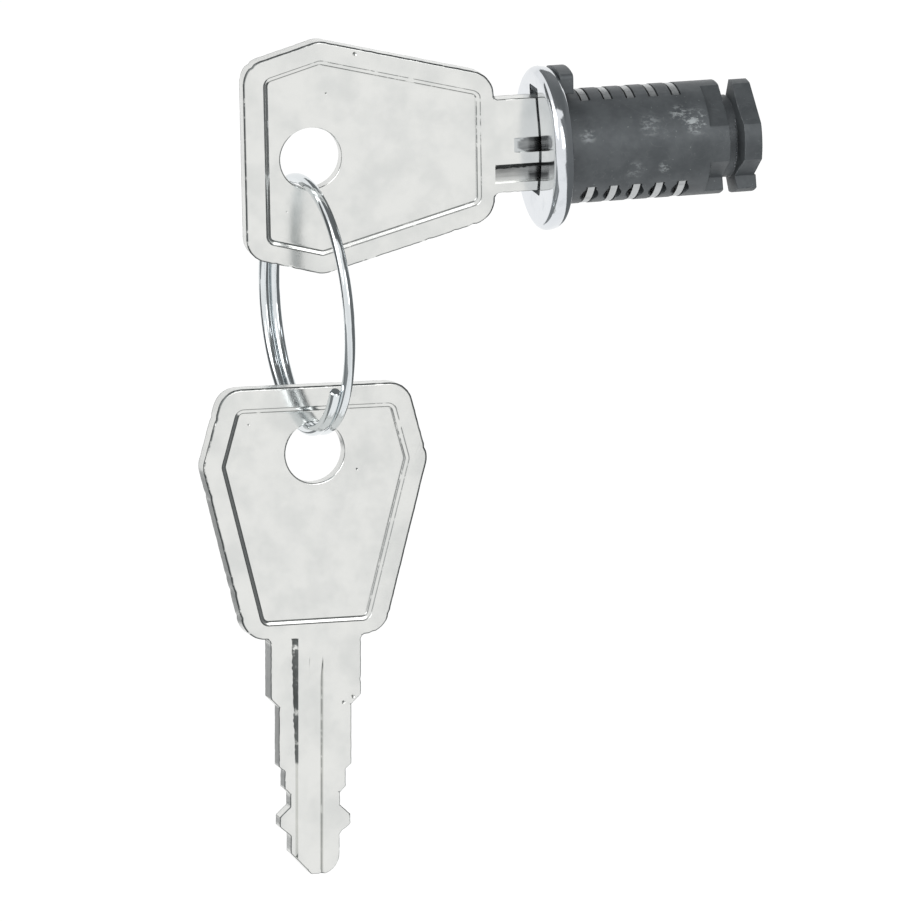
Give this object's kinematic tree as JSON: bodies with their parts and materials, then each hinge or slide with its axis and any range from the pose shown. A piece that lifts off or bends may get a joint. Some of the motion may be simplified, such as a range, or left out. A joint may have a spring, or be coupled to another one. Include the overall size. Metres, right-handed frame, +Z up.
{
  "type": "enclosure lock",
  "caption": "Wafer cam-lock plug with a bright crimped cap, a key standing in it, and a spare key hanging from the first key's bow on a steel ring.",
  "frame": {"origin": "on the lock axis at the back of the cap, in the plane that lies against the panel or door", "axes": "+X along the lock axis from the cap to the tail, +Z up, the blade's flat faces square to Y; a key goes in along +X and comes out along -X"},
  "size_m": [0.0577, 0.0263, 0.0847],
  "materials": {
    "plug_zinc": "zinc die casting, dark matt surface with pale scuffs",
    "cap_chrome": "mirror chrome on pressed sheet",
    "key_nickel": "nickel plated, tumbled satin, nicked edges",
    "wafer_metal": "stamped nickel silver, ends ground by wear",
    "spring_steel": "fine round spring wire",
    "ring_steel": "bright plated round spring wire"
  },
  "bodies": {
    "plug": {"plug_body": "plug_zinc", "front_cap": "cap_chrome", "wafer_spring_1": "spring_steel", "wafer_spring_2": "spring_steel", "wafer_spring_3": "spring_steel", "wafer_spring_4": "spring_steel", "wafer_spring_5": "spring_steel"},
    "lock_key": {"lock_key": "key_nickel"},
    "wafer_1": {"wafer_1": "wafer_metal"},
    "wafer_2": {"wafer_2": "wafer_metal"},
    "wafer_3": {"wafer_3": "wafer_metal"},
    "wafer_4": {"wafer_4": "wafer_metal"},
    "wafer_5": {"wafer_5": "wafer_metal"},
    "key_ring": {"key_ring": "ring_steel"},
    "spare_key": {"spare_key": "key_nickel"}
  },
  "joints": [
    {"name": "key_slide", "type": "slide", "parent": "plug", "child": "lock_key", "axis": [-1, 0, 0], "range_m": [0, 0.026]},
    {"name": "wafer_1_slide", "type": "slide", "parent": "plug", "child": "wafer_1", "axis": [0, 0, -1], "range_m": [0, 0.001], "deforming": ["wafer_spring_1"]},
    {"name": "wafer_2_slide", "type": "slide", "parent": "plug", "child": "wafer_2", "axis": [0, 0, -1], "range_m": [0, 0.001], "deforming": ["wafer_spring_2"]},
    {"name": "wafer_3_slide", "type": "slide", "parent": "plug", "child": "wafer_3", "axis": [0, 0, -1], "range_m": [0, 0.001], "deforming": ["wafer_spring_3"]},
    {"name": "wafer_4_slide", "type": "slide", "parent": "plug", "child": "wafer_4", "axis": [0, 0, -1], "range_m": [0, 0.001], "deforming": ["wafer_spring_4"]},
    {"name": "wafer_5_slide", "type": "slide", "parent": "plug", "child": "wafer_5", "axis": [0, 0, -1], "range_m": [0, 0.001], "deforming": ["wafer_spring_5"]},
    {"name": "ring_swing", "type": "hinge", "parent": "lock_key", "child": "key_ring", "pos_m": [-0.02572, 0, -0.00167], "axis": [-0.0941, 0.9956, 0], "range_deg": [-35, 35]},
    {"name": "spare_key_swing", "type": "hinge", "parent": "key_ring", "child": "spare_key", "pos_m": [-0.0256, -0.00129, -0.02912], "axis": [-0.0782, 0.9931, -0.0872], "range_deg": [-60, 60]}
  ],
  "couplings": [
    {"joint": "wafer_1_slide", "follows": "key_slide", "ratio": 0.0384},
    {"joint": "wafer_2_slide", "follows": "key_slide", "ratio": 0.0384},
    {"joint": "wafer_3_slide", "follows": "key_slide", "ratio": 0.0384},
    {"joint": "wafer_4_slide", "follows": "key_slide", "ratio": 0.0384},
    {"joint": "wafer_5_slide", "follows": "key_slide", "ratio": 0.0384}
  ]
}
